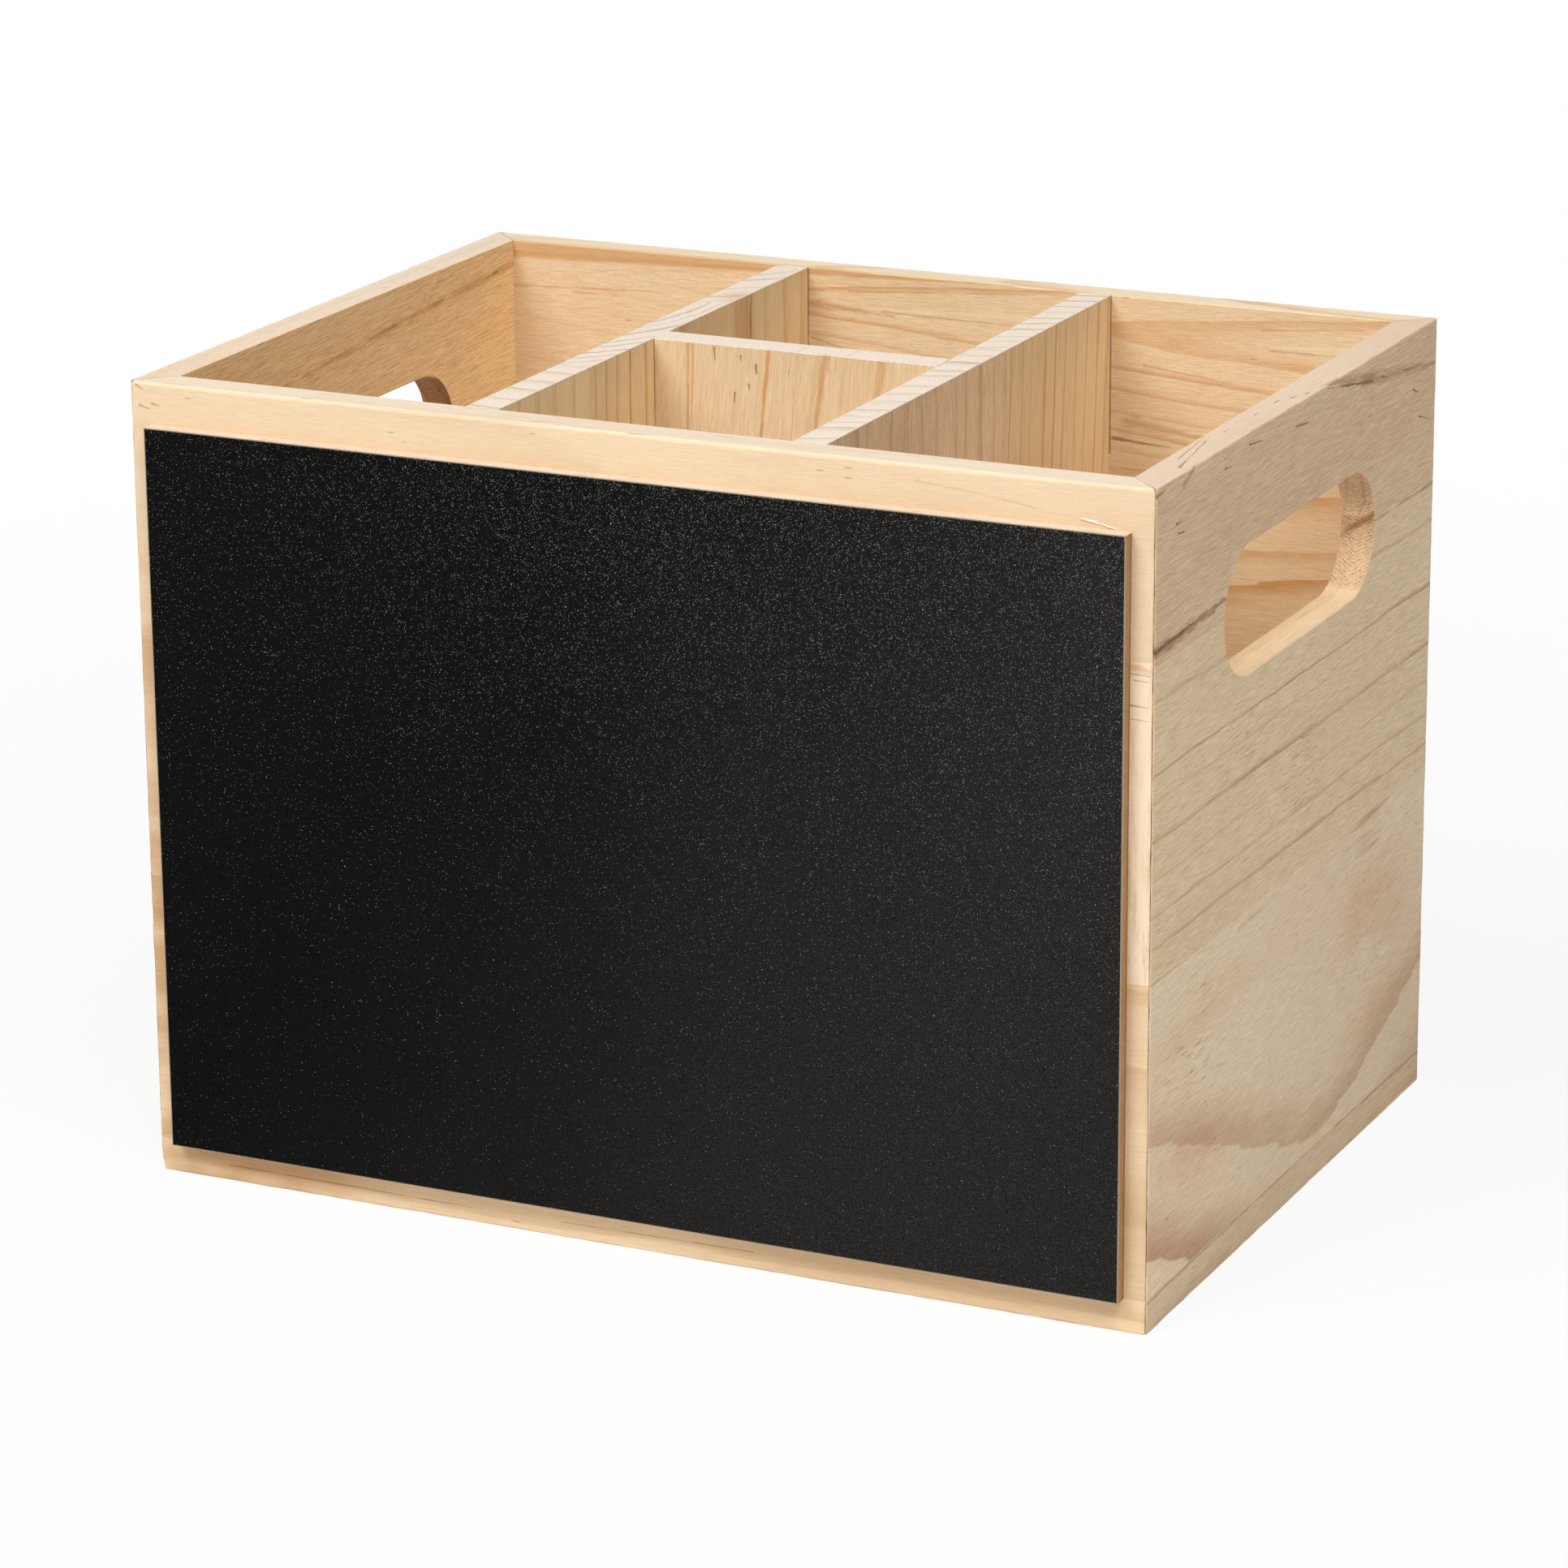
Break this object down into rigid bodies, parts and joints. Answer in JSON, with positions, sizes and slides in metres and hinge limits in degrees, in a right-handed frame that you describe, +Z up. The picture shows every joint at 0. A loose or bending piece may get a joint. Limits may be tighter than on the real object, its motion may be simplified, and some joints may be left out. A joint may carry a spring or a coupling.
{
  "type": "cutlery caddy",
  "caption": "Open pine table caddy with upright dividers, a hand-hold through each side and a chalkboard glued on the front, for standing cutlery, napkins and bottles in.",
  "frame": {"origin": "on the table, under the middle of the object's outline, chalkboard included", "axes": "+X to the right seen from the chalkboard side, +Y from the chalkboard to the back, +Z up"},
  "size_m": [0.25, 0.1824, 0.1908],
  "materials": {
    "pine_walls": "planed and sanded pine, unvarnished, grain along the boards",
    "pine_dividers": "planed and sanded pine, unvarnished, grain upright",
    "plywood_base": "sanded thin plywood",
    "fibreboard": "raw sawn fibreboard edge",
    "chalk_black": "matt black writing film with a fine sparkle"
  },
  "bodies": {
    "root": {"front_wall": "pine_walls", "back_wall": "pine_walls", "left_wall": "pine_walls", "right_wall": "pine_walls", "base_panel": "plywood_base", "left_divider": "pine_dividers", "right_divider": "pine_dividers", "cross_divider": "pine_dividers", "chalkboard_panel": "fibreboard", "chalkboard_film": "chalk_black"}
  },
  "joints": []
}
